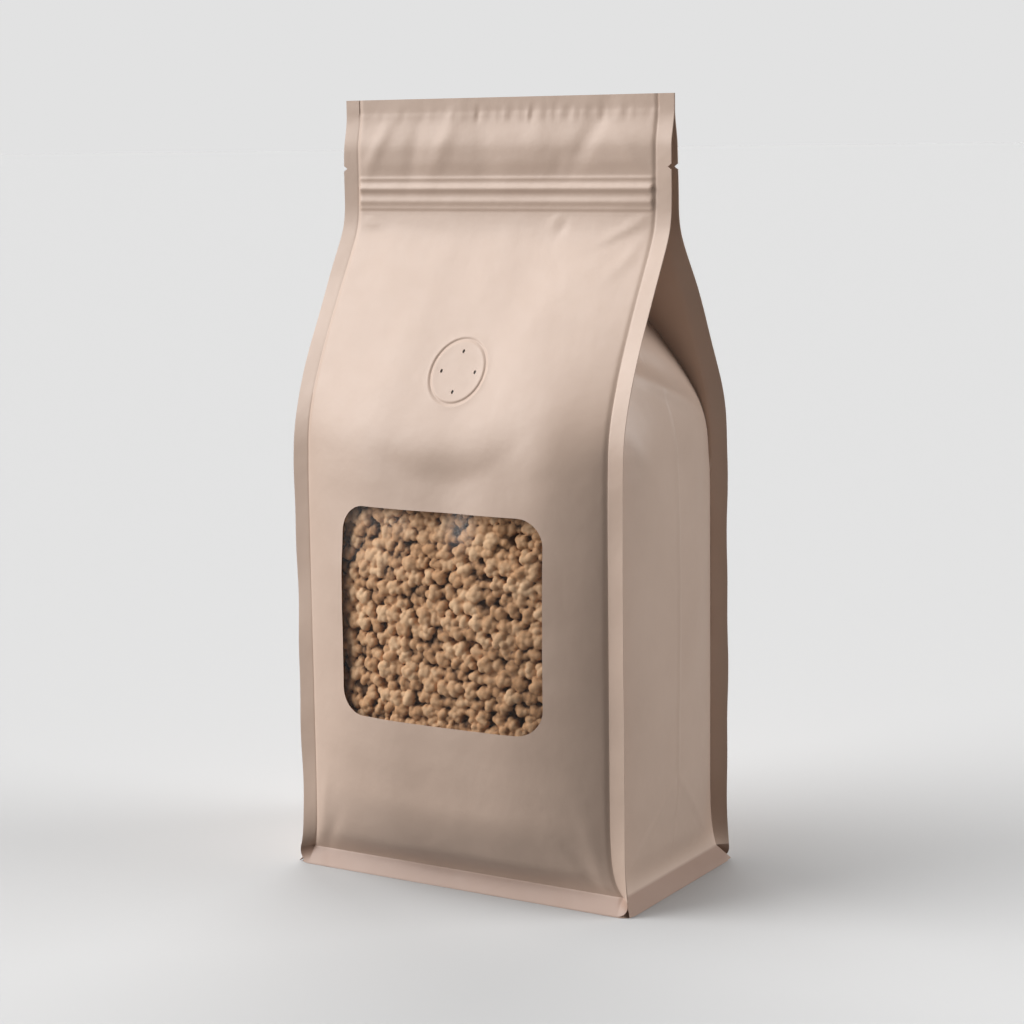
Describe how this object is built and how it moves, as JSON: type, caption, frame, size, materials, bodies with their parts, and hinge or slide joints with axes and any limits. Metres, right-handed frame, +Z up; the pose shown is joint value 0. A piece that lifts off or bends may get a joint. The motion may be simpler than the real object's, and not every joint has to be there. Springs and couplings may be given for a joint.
{
  "type": "coffee bag",
  "caption": "Filled flat-bottom film pouch with side gussets, press-to-close zipper, one-way valve, clear front window and granules inside.",
  "frame": {"origin": "middle of the base, on the surface that the bag stands on", "axes": "+Z up to the top weld; -Y out of the front panel with the window and valve; +X to the right gusset as seen from the front"},
  "size_m": [0.13, 0.0968, 0.26],
  "materials": {
    "front_film": "soft-touch matt laminate",
    "back_film": "soft-touch matt laminate",
    "left_gusset_film": "soft-touch matt laminate",
    "right_gusset_film": "soft-touch matt laminate",
    "base_film": "soft-touch matt laminate",
    "clear_film": "clear glossy window film",
    "zip_plastic": "natural polyethylene",
    "valve_plastic": "moulded polyethylene",
    "valve_rubber": "matt silicone",
    "filter_paper": "uncoated filter paper",
    "granule_crumb": "dry porous crumb"
  },
  "bodies": {
    "root": {"front_panel": "front_film", "back_panel": "back_film", "left_gusset": "left_gusset_film", "right_gusset": "right_gusset_film", "base_panel": "base_film", "window_film": "clear_film", "zipper_front_strip": "zip_plastic", "zipper_back_strip": "zip_plastic", "valve_body": "valve_plastic", "valve_disc": "valve_rubber", "valve_cover": "valve_plastic", "valve_filter": "filter_paper", "granules": "granule_crumb"}
  },
  "joints": []
}
